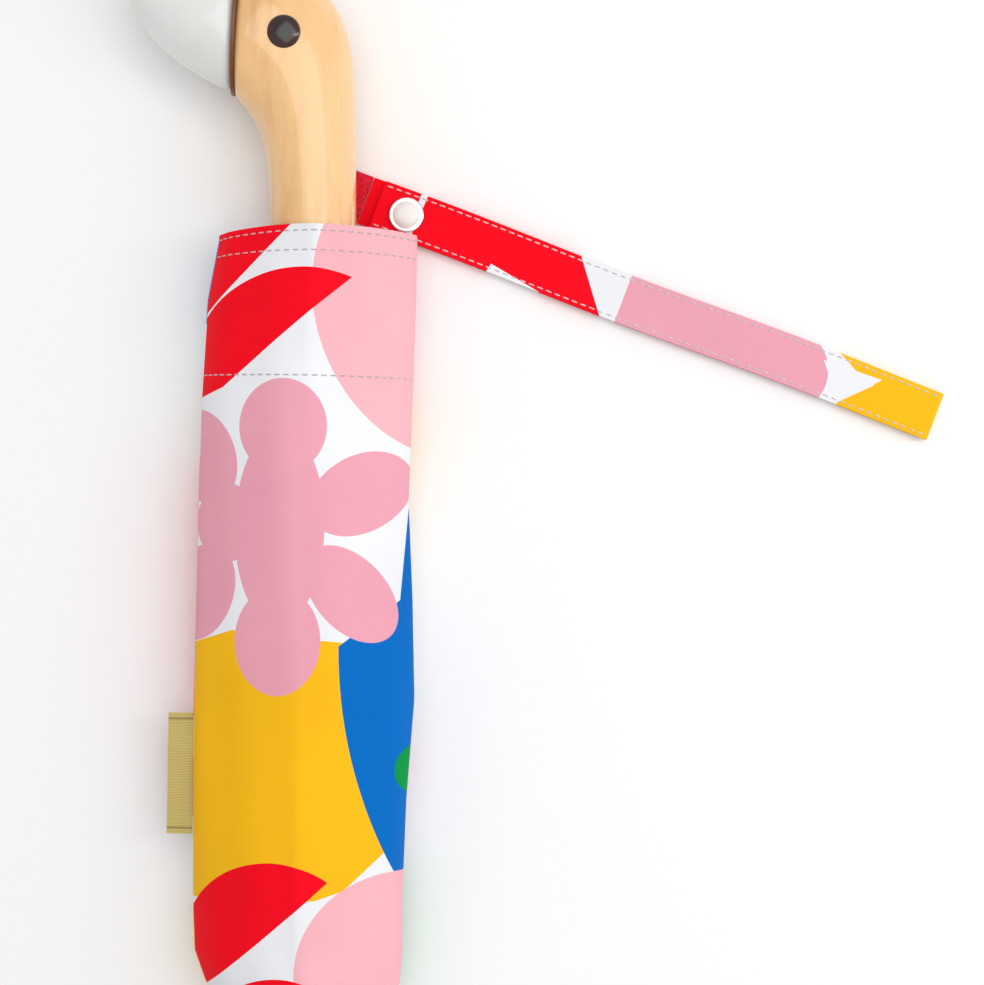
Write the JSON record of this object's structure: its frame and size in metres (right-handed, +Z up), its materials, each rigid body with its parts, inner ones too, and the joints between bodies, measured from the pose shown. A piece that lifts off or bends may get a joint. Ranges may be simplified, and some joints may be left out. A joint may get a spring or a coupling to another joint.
{
  "type": "folding umbrella",
  "caption": "Compact three-fold umbrella lying in its printed fabric sleeve, with a carved wooden bird-head handle, telescoping shaft, folding ribs and a snapped wrist strap.",
  "frame": {"origin": "middle of the sleeve's flat underside", "axes": "+Y along the shaft from crown to handle, +Z up from the table, +X towards the wrist strap"},
  "size_m": [0.2571, 0.3253, 0.038],
  "materials": {
    "maple": "clear gloss lacquer",
    "bill_lacquer": "white gloss lacquer",
    "eye_resin": "polished dark brown",
    "dark_metal": "blackened",
    "bright_metal": "satin plated",
    "dark_plastic": "matte",
    "rib_steel": "black zinc",
    "canopy_cloth": "plain weave",
    "sleeve_cloth": "printed plain weave",
    "strap_cloth": "printed plain weave",
    "label_cloth": "woven tape",
    "snap_metal": "pearl enamel over metal"
  },
  "bodies": {
    "handle": {"duck_head": "maple", "bill": "bill_lacquer", "eyes": "eye_resin", "handle_screw": "dark_metal", "handle_cup": "bright_metal", "lower_tube": "bright_metal"},
    "middle_shaft": {"middle_tube": "bright_metal"},
    "upper_shaft": {"upper_tube": "bright_metal", "crown": "dark_plastic", "ferrule_cap": "dark_plastic"},
    "runner": {"runner": "dark_plastic"},
    "sleeve": {"sleeve": "sleeve_cloth", "sleeve_label": "label_cloth", "strap_tab": "strap_cloth"},
    "strap": {"strap_lower": "strap_cloth", "snap_stud": "snap_metal"},
    "strap_end": {"strap_upper": "strap_cloth", "snap_cap": "snap_metal"},
    "top_rib_1": {"top_rib_1": "rib_steel"},
    "stretcher_1": {"stretcher_1": "rib_steel"},
    "mid_rib_1": {"mid_rib_1": "rib_steel"},
    "outer_rib_1": {"outer_rib_1": "rib_steel"},
    "top_rib_2": {"top_rib_2": "rib_steel"},
    "stretcher_2": {"stretcher_2": "rib_steel"},
    "mid_rib_2": {"mid_rib_2": "rib_steel"},
    "outer_rib_2": {"outer_rib_2": "rib_steel"},
    "top_rib_3": {"top_rib_3": "rib_steel"},
    "stretcher_3": {"stretcher_3": "rib_steel"},
    "mid_rib_3": {"mid_rib_3": "rib_steel"},
    "outer_rib_3": {"outer_rib_3": "rib_steel"},
    "top_rib_4": {"top_rib_4": "rib_steel"},
    "stretcher_4": {"stretcher_4": "rib_steel"},
    "mid_rib_4": {"mid_rib_4": "rib_steel"},
    "outer_rib_4": {"outer_rib_4": "rib_steel"},
    "top_rib_5": {"top_rib_5": "rib_steel"},
    "stretcher_5": {"stretcher_5": "rib_steel"},
    "mid_rib_5": {"mid_rib_5": "rib_steel"},
    "outer_rib_5": {"outer_rib_5": "rib_steel"},
    "top_rib_6": {"top_rib_6": "rib_steel"},
    "stretcher_6": {"stretcher_6": "rib_steel"},
    "mid_rib_6": {"mid_rib_6": "rib_steel"},
    "outer_rib_6": {"outer_rib_6": "rib_steel"},
    "canopy_inner_1": {"canopy_inner_1": "canopy_cloth"},
    "canopy_inner_2": {"canopy_inner_2": "canopy_cloth"},
    "canopy_inner_3": {"canopy_inner_3": "canopy_cloth"},
    "canopy_inner_4": {"canopy_inner_4": "canopy_cloth"},
    "canopy_inner_5": {"canopy_inner_5": "canopy_cloth"},
    "canopy_inner_6": {"canopy_inner_6": "canopy_cloth"},
    "canopy_middle_1": {"canopy_middle_1": "canopy_cloth"},
    "canopy_middle_2": {"canopy_middle_2": "canopy_cloth"},
    "canopy_middle_3": {"canopy_middle_3": "canopy_cloth"},
    "canopy_middle_4": {"canopy_middle_4": "canopy_cloth"},
    "canopy_middle_5": {"canopy_middle_5": "canopy_cloth"},
    "canopy_middle_6": {"canopy_middle_6": "canopy_cloth"},
    "canopy_outer_1": {"canopy_outer_1": "canopy_cloth"},
    "canopy_outer_2": {"canopy_outer_2": "canopy_cloth"},
    "canopy_outer_3": {"canopy_outer_3": "canopy_cloth"},
    "canopy_outer_4": {"canopy_outer_4": "canopy_cloth"},
    "canopy_outer_5": {"canopy_outer_5": "canopy_cloth"},
    "canopy_outer_6": {"canopy_outer_6": "canopy_cloth"}
  },
  "joints": [
    {"name": "runner_slide", "type": "slide", "parent": "upper_shaft", "child": "runner", "axis": [0, -1, 0], "range_m": [0, 0.1334]},
    {"name": "middle_shaft_slide", "type": "slide", "parent": "handle", "child": "middle_shaft", "axis": [0, -1, 0], "range_m": [0, 0.15]},
    {"name": "upper_shaft_slide", "type": "slide", "parent": "middle_shaft", "child": "upper_shaft", "axis": [0, -1, 0], "range_m": [0, 0.15]},
    {"name": "sleeve_slide", "type": "slide", "parent": "upper_shaft", "child": "sleeve", "axis": [0, -1, 0], "range_m": [0, 0.26], "deforming": ["sleeve", "strap_tab"]},
    {"name": "top_rib_1_hinge", "type": "hinge", "parent": "upper_shaft", "child": "top_rib_1", "pos_m": [0.009, -0.104, 0.019], "axis": [0, 0, -1], "range_deg": [0, 75]},
    {"name": "stretcher_1_hinge", "type": "hinge", "parent": "top_rib_1", "child": "stretcher_1", "pos_m": [0.009, -0.014, 0.019], "axis": [0, 0, -1], "range_deg": [-150, 0]},
    {"name": "mid_rib_1_hinge", "type": "hinge", "parent": "top_rib_1", "child": "mid_rib_1", "pos_m": [0.0123, 0.056, 0.019], "axis": [0, 0, -1], "range_deg": [-190, 0]},
    {"name": "outer_rib_1_hinge", "type": "hinge", "parent": "mid_rib_1", "child": "outer_rib_1", "pos_m": [0.0153, -0.104, 0.019], "axis": [0, 0, -1], "range_deg": [0, 165]},
    {"name": "top_rib_2_hinge", "type": "hinge", "parent": "upper_shaft", "child": "top_rib_2", "pos_m": [0.0045, -0.104, 0.02679], "axis": [0.866, 0, -0.5], "range_deg": [0, 75]},
    {"name": "stretcher_2_hinge", "type": "hinge", "parent": "top_rib_2", "child": "stretcher_2", "pos_m": [0.0045, -0.014, 0.02679], "axis": [0.866, 0, -0.5], "range_deg": [-150, 0]},
    {"name": "mid_rib_2_hinge", "type": "hinge", "parent": "top_rib_2", "child": "mid_rib_2", "pos_m": [0.00615, 0.056, 0.02965], "axis": [0.866, 0, -0.5], "range_deg": [-190, 0]},
    {"name": "outer_rib_2_hinge", "type": "hinge", "parent": "mid_rib_2", "child": "outer_rib_2", "pos_m": [0.00765, -0.104, 0.03225], "axis": [0.866, 0, -0.5], "range_deg": [0, 165]},
    {"name": "top_rib_3_hinge", "type": "hinge", "parent": "upper_shaft", "child": "top_rib_3", "pos_m": [-0.0045, -0.104, 0.02679], "axis": [0.866, 0, 0.5], "range_deg": [0, 75]},
    {"name": "stretcher_3_hinge", "type": "hinge", "parent": "top_rib_3", "child": "stretcher_3", "pos_m": [-0.0045, -0.014, 0.02679], "axis": [0.866, 0, 0.5], "range_deg": [-150, 0]},
    {"name": "mid_rib_3_hinge", "type": "hinge", "parent": "top_rib_3", "child": "mid_rib_3", "pos_m": [-0.00615, 0.056, 0.02965], "axis": [0.866, 0, 0.5], "range_deg": [-190, 0]},
    {"name": "outer_rib_3_hinge", "type": "hinge", "parent": "mid_rib_3", "child": "outer_rib_3", "pos_m": [-0.00765, -0.104, 0.03225], "axis": [0.866, 0, 0.5], "range_deg": [0, 165]},
    {"name": "top_rib_4_hinge", "type": "hinge", "parent": "upper_shaft", "child": "top_rib_4", "pos_m": [-0.009, -0.104, 0.019], "axis": [0, 0, 1], "range_deg": [0, 75]},
    {"name": "stretcher_4_hinge", "type": "hinge", "parent": "top_rib_4", "child": "stretcher_4", "pos_m": [-0.009, -0.014, 0.019], "axis": [0, 0, 1], "range_deg": [-150, 0]},
    {"name": "mid_rib_4_hinge", "type": "hinge", "parent": "top_rib_4", "child": "mid_rib_4", "pos_m": [-0.0123, 0.056, 0.019], "axis": [0, 0, 1], "range_deg": [-190, 0]},
    {"name": "outer_rib_4_hinge", "type": "hinge", "parent": "mid_rib_4", "child": "outer_rib_4", "pos_m": [-0.0153, -0.104, 0.019], "axis": [0, 0, 1], "range_deg": [0, 165]},
    {"name": "top_rib_5_hinge", "type": "hinge", "parent": "upper_shaft", "child": "top_rib_5", "pos_m": [-0.0045, -0.104, 0.01121], "axis": [-0.866, 0, 0.5], "range_deg": [0, 75]},
    {"name": "stretcher_5_hinge", "type": "hinge", "parent": "top_rib_5", "child": "stretcher_5", "pos_m": [-0.0045, -0.014, 0.01121], "axis": [-0.866, 0, 0.5], "range_deg": [-150, 0]},
    {"name": "mid_rib_5_hinge", "type": "hinge", "parent": "top_rib_5", "child": "mid_rib_5", "pos_m": [-0.00615, 0.056, 0.00835], "axis": [-0.866, 0, 0.5], "range_deg": [-190, 0]},
    {"name": "outer_rib_5_hinge", "type": "hinge", "parent": "mid_rib_5", "child": "outer_rib_5", "pos_m": [-0.00765, -0.104, 0.00575], "axis": [-0.866, 0, 0.5], "range_deg": [0, 165]},
    {"name": "top_rib_6_hinge", "type": "hinge", "parent": "upper_shaft", "child": "top_rib_6", "pos_m": [0.0045, -0.104, 0.01121], "axis": [-0.866, 0, -0.5], "range_deg": [0, 75]},
    {"name": "stretcher_6_hinge", "type": "hinge", "parent": "top_rib_6", "child": "stretcher_6", "pos_m": [0.0045, -0.014, 0.01121], "axis": [-0.866, 0, -0.5], "range_deg": [-150, 0]},
    {"name": "mid_rib_6_hinge", "type": "hinge", "parent": "top_rib_6", "child": "mid_rib_6", "pos_m": [0.00615, 0.056, 0.00835], "axis": [-0.866, 0, -0.5], "range_deg": [-190, 0]},
    {"name": "outer_rib_6_hinge", "type": "hinge", "parent": "mid_rib_6", "child": "outer_rib_6", "pos_m": [0.00765, -0.104, 0.00575], "axis": [-0.866, 0, -0.5], "range_deg": [0, 165]},
    {"name": "canopy_inner_1_spread", "type": "slide", "parent": "top_rib_1", "child": "canopy_inner_1", "axis": [-0.1294, -0.483, 0.866], "range_m": [0, 0.16441], "deforming": ["canopy_inner_1"]},
    {"name": "canopy_inner_2_spread", "type": "slide", "parent": "top_rib_2", "child": "canopy_inner_2", "axis": [-0.8147, -0.483, 0.3209], "range_m": [0, 0.16441], "deforming": ["canopy_inner_2"]},
    {"name": "canopy_inner_3_spread", "type": "slide", "parent": "top_rib_3", "child": "canopy_inner_3", "axis": [-0.6853, -0.483, -0.5451], "range_m": [0, 0.16441], "deforming": ["canopy_inner_3"]},
    {"name": "canopy_inner_4_spread", "type": "slide", "parent": "top_rib_4", "child": "canopy_inner_4", "axis": [0.1294, -0.483, -0.866], "range_m": [0, 0.16441], "deforming": ["canopy_inner_4"]},
    {"name": "canopy_inner_5_spread", "type": "slide", "parent": "top_rib_5", "child": "canopy_inner_5", "axis": [0.8147, -0.483, -0.3209], "range_m": [0, 0.16441], "deforming": ["canopy_inner_5"]},
    {"name": "canopy_inner_6_spread", "type": "slide", "parent": "top_rib_6", "child": "canopy_inner_6", "axis": [0.6853, -0.483, 0.5451], "range_m": [0, 0.16441], "deforming": ["canopy_inner_6"]},
    {"name": "canopy_middle_1_spread", "type": "slide", "parent": "mid_rib_1", "child": "canopy_middle_1", "axis": [0.2113, 0.4532, 0.866], "range_m": [0, 0.30815], "deforming": ["canopy_middle_1"]},
    {"name": "canopy_middle_2_spread", "type": "slide", "parent": "mid_rib_2", "child": "canopy_middle_2", "axis": [-0.6443, 0.4532, 0.616], "range_m": [0, 0.30815], "deforming": ["canopy_middle_2"]},
    {"name": "canopy_middle_3_spread", "type": "slide", "parent": "mid_rib_3", "child": "canopy_middle_3", "axis": [-0.8557, 0.4532, -0.25], "range_m": [0, 0.30815], "deforming": ["canopy_middle_3"]},
    {"name": "canopy_middle_4_spread", "type": "slide", "parent": "mid_rib_4", "child": "canopy_middle_4", "axis": [-0.2113, 0.4532, -0.866], "range_m": [0, 0.30815], "deforming": ["canopy_middle_4"]},
    {"name": "canopy_middle_5_spread", "type": "slide", "parent": "mid_rib_5", "child": "canopy_middle_5", "axis": [0.6443, 0.4532, -0.616], "range_m": [0, 0.30815], "deforming": ["canopy_middle_5"]},
    {"name": "canopy_middle_6_spread", "type": "slide", "parent": "mid_rib_6", "child": "canopy_middle_6", "axis": [0.8557, 0.4532, 0.25], "range_m": [0, 0.30815], "deforming": ["canopy_middle_6"]},
    {"name": "canopy_outer_1_spread", "type": "slide", "parent": "outer_rib_1", "child": "canopy_outer_1", "axis": [-0.3214, -0.383, 0.866], "range_m": [0, 0.4486], "deforming": ["canopy_outer_1"]},
    {"name": "canopy_outer_2_spread", "type": "slide", "parent": "outer_rib_2", "child": "canopy_outer_2", "axis": [-0.9107, -0.383, 0.1547], "range_m": [0, 0.4486], "deforming": ["canopy_outer_2"]},
    {"name": "canopy_outer_3_spread", "type": "slide", "parent": "outer_rib_3", "child": "canopy_outer_3", "axis": [-0.5893, -0.383, -0.7113], "range_m": [0, 0.4486], "deforming": ["canopy_outer_3"]},
    {"name": "canopy_outer_4_spread", "type": "slide", "parent": "outer_rib_4", "child": "canopy_outer_4", "axis": [0.3214, -0.383, -0.866], "range_m": [0, 0.4486], "deforming": ["canopy_outer_4"]},
    {"name": "canopy_outer_5_spread", "type": "slide", "parent": "outer_rib_5", "child": "canopy_outer_5", "axis": [0.9107, -0.383, -0.1547], "range_m": [0, 0.4486], "deforming": ["canopy_outer_5"]},
    {"name": "canopy_outer_6_spread", "type": "slide", "parent": "outer_rib_6", "child": "canopy_outer_6", "axis": [0.5893, -0.383, 0.7113], "range_m": [0, 0.4486], "deforming": ["canopy_outer_6"]},
    {"name": "strap_swing", "type": "hinge", "parent": "sleeve", "child": "strap", "pos_m": [0.0153, 0.1317, 0.0009], "axis": [-0.3379, -0.9412, 0], "range_deg": [0, 50]},
    {"name": "strap_unfold", "type": "hinge", "parent": "strap", "child": "strap_end", "pos_m": [0.19399, 0.06754, 0.002], "axis": [0.3379, 0.9412, 0], "range_deg": [0, 160]}
  ],
  "couplings": [
    {"joint": "middle_shaft_slide", "follows": "runner_slide", "ratio": 1.1244},
    {"joint": "upper_shaft_slide", "follows": "runner_slide", "ratio": 1.1244},
    {"joint": "sleeve_slide", "follows": "runner_slide", "ratio": 1.949},
    {"joint": "top_rib_1_hinge", "follows": "runner_slide", "rad_per_m": 9.8126},
    {"joint": "stretcher_1_hinge", "follows": "runner_slide", "rad_per_m": -19.625},
    {"joint": "mid_rib_1_hinge", "follows": "runner_slide", "rad_per_m": -24.859},
    {"joint": "outer_rib_1_hinge", "follows": "runner_slide", "rad_per_m": 21.588},
    {"joint": "top_rib_2_hinge", "follows": "runner_slide", "rad_per_m": 9.8126},
    {"joint": "stretcher_2_hinge", "follows": "runner_slide", "rad_per_m": -19.625},
    {"joint": "mid_rib_2_hinge", "follows": "runner_slide", "rad_per_m": -24.859},
    {"joint": "outer_rib_2_hinge", "follows": "runner_slide", "rad_per_m": 21.588},
    {"joint": "top_rib_3_hinge", "follows": "runner_slide", "rad_per_m": 9.8126},
    {"joint": "stretcher_3_hinge", "follows": "runner_slide", "rad_per_m": -19.625},
    {"joint": "mid_rib_3_hinge", "follows": "runner_slide", "rad_per_m": -24.859},
    {"joint": "outer_rib_3_hinge", "follows": "runner_slide", "rad_per_m": 21.588},
    {"joint": "top_rib_4_hinge", "follows": "runner_slide", "rad_per_m": 9.8126},
    {"joint": "stretcher_4_hinge", "follows": "runner_slide", "rad_per_m": -19.625},
    {"joint": "mid_rib_4_hinge", "follows": "runner_slide", "rad_per_m": -24.859},
    {"joint": "outer_rib_4_hinge", "follows": "runner_slide", "rad_per_m": 21.588},
    {"joint": "top_rib_5_hinge", "follows": "runner_slide", "rad_per_m": 9.8126},
    {"joint": "stretcher_5_hinge", "follows": "runner_slide", "rad_per_m": -19.625},
    {"joint": "mid_rib_5_hinge", "follows": "runner_slide", "rad_per_m": -24.859},
    {"joint": "outer_rib_5_hinge", "follows": "runner_slide", "rad_per_m": 21.588},
    {"joint": "top_rib_6_hinge", "follows": "runner_slide", "rad_per_m": 9.8126},
    {"joint": "stretcher_6_hinge", "follows": "runner_slide", "rad_per_m": -19.625},
    {"joint": "mid_rib_6_hinge", "follows": "runner_slide", "rad_per_m": -24.859},
    {"joint": "outer_rib_6_hinge", "follows": "runner_slide", "rad_per_m": 21.588},
    {"joint": "canopy_inner_1_spread", "follows": "runner_slide", "ratio": 1.2324},
    {"joint": "canopy_inner_2_spread", "follows": "runner_slide", "ratio": 1.2324},
    {"joint": "canopy_inner_3_spread", "follows": "runner_slide", "ratio": 1.2324},
    {"joint": "canopy_inner_4_spread", "follows": "runner_slide", "ratio": 1.2324},
    {"joint": "canopy_inner_5_spread", "follows": "runner_slide", "ratio": 1.2324},
    {"joint": "canopy_inner_6_spread", "follows": "runner_slide", "ratio": 1.2324},
    {"joint": "canopy_middle_1_spread", "follows": "runner_slide", "ratio": 2.3099},
    {"joint": "canopy_middle_2_spread", "follows": "runner_slide", "ratio": 2.3099},
    {"joint": "canopy_middle_3_spread", "follows": "runner_slide", "ratio": 2.3099},
    {"joint": "canopy_middle_4_spread", "follows": "runner_slide", "ratio": 2.3099},
    {"joint": "canopy_middle_5_spread", "follows": "runner_slide", "ratio": 2.3099},
    {"joint": "canopy_middle_6_spread", "follows": "runner_slide", "ratio": 2.3099},
    {"joint": "canopy_outer_1_spread", "follows": "runner_slide", "ratio": 3.3628},
    {"joint": "canopy_outer_2_spread", "follows": "runner_slide", "ratio": 3.3628},
    {"joint": "canopy_outer_3_spread", "follows": "runner_slide", "ratio": 3.3628},
    {"joint": "canopy_outer_4_spread", "follows": "runner_slide", "ratio": 3.3628},
    {"joint": "canopy_outer_5_spread", "follows": "runner_slide", "ratio": 3.3628},
    {"joint": "canopy_outer_6_spread", "follows": "runner_slide", "ratio": 3.3628}
  ]
}
